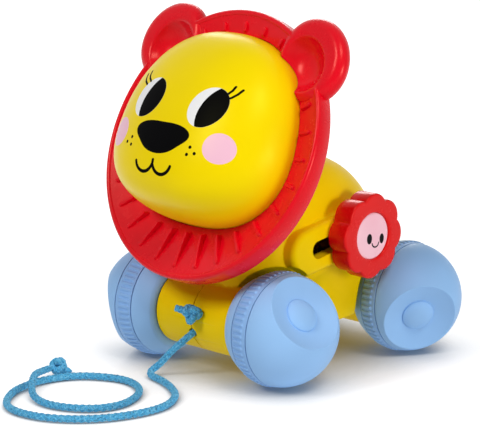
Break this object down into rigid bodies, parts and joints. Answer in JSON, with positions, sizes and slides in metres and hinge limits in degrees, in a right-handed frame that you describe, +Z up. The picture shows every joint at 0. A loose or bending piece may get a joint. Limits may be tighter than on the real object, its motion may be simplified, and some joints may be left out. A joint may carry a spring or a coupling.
{
  "type": "pull-along toy lion",
  "caption": "Plastic lion on ball wheels with slanted dished hubs, a ribbed mane, flower knobs sliding in slots on its flanks, and a braided pull cord.",
  "frame": {"origin": "on the floor under the middle of the object's box, without its cord", "axes": "+Z up; the lion looks along -Y and its left side is +X"},
  "size_m": [0.1454, 0.2485, 0.1827],
  "materials": {
    "yellow_plastic": "gloss",
    "face_plastic": "gloss",
    "red_plastic": "gloss",
    "blue_plastic": "satin",
    "blue_tread": "satin",
    "pink_plastic": "satin",
    "white_plastic": "matte",
    "steel": "satin",
    "cord_fabric": "woven"
  },
  "bodies": {
    "body": {"body_left": "yellow_plastic", "body_right": "yellow_plastic", "body_screws": "steel", "neck_screws": "steel", "mane": "red_plastic", "face_shell": "face_plastic", "head_back": "red_plastic", "mane_screws": "steel", "chest_knot": "cord_fabric", "pull_cord": "cord_fabric", "end_knot": "cord_fabric"},
    "front_wheels": {"front_axle": "steel", "front_left_inner": "blue_plastic", "front_left_tread": "blue_tread", "front_left_outer": "blue_plastic", "front_right_inner": "blue_plastic", "front_right_tread": "blue_tread", "front_right_outer": "blue_plastic"},
    "rear_wheels": {"rear_axle": "steel", "rear_left_inner": "blue_plastic", "rear_left_tread": "blue_tread", "rear_left_outer": "blue_plastic", "rear_right_inner": "blue_plastic", "rear_right_tread": "blue_tread", "rear_right_outer": "blue_plastic"},
    "flower_slider": {"flower_shaft": "steel", "slide_discs": "white_plastic"},
    "left_flower": {"flower_left": "red_plastic", "flower_left_face": "pink_plastic"},
    "right_flower": {"flower_right": "red_plastic", "flower_right_face": "pink_plastic"}
  },
  "joints": [
    {"name": "front_axle_roll", "type": "hinge", "parent": "body", "child": "front_wheels", "pos_m": [0, -0.0392, 0.0292], "axis": [1, 0, 0], "continuous": true},
    {"name": "rear_axle_roll", "type": "hinge", "parent": "body", "child": "rear_wheels", "pos_m": [0, 0.0556, 0.0292], "axis": [1, 0, 0], "continuous": true},
    {"name": "flower_slide", "type": "slide", "parent": "body", "child": "flower_slider", "axis": [0, -0.9863, -0.165], "range_m": [0, 0.02]},
    {"name": "left_flower_spin", "type": "hinge", "parent": "flower_slider", "child": "left_flower", "pos_m": [0.045, 0.0168, 0.069], "axis": [1, 0, 0], "continuous": true},
    {"name": "right_flower_spin", "type": "hinge", "parent": "flower_slider", "child": "right_flower", "pos_m": [-0.045, 0.0168, 0.069], "axis": [1, 0, 0], "continuous": true}
  ]
}
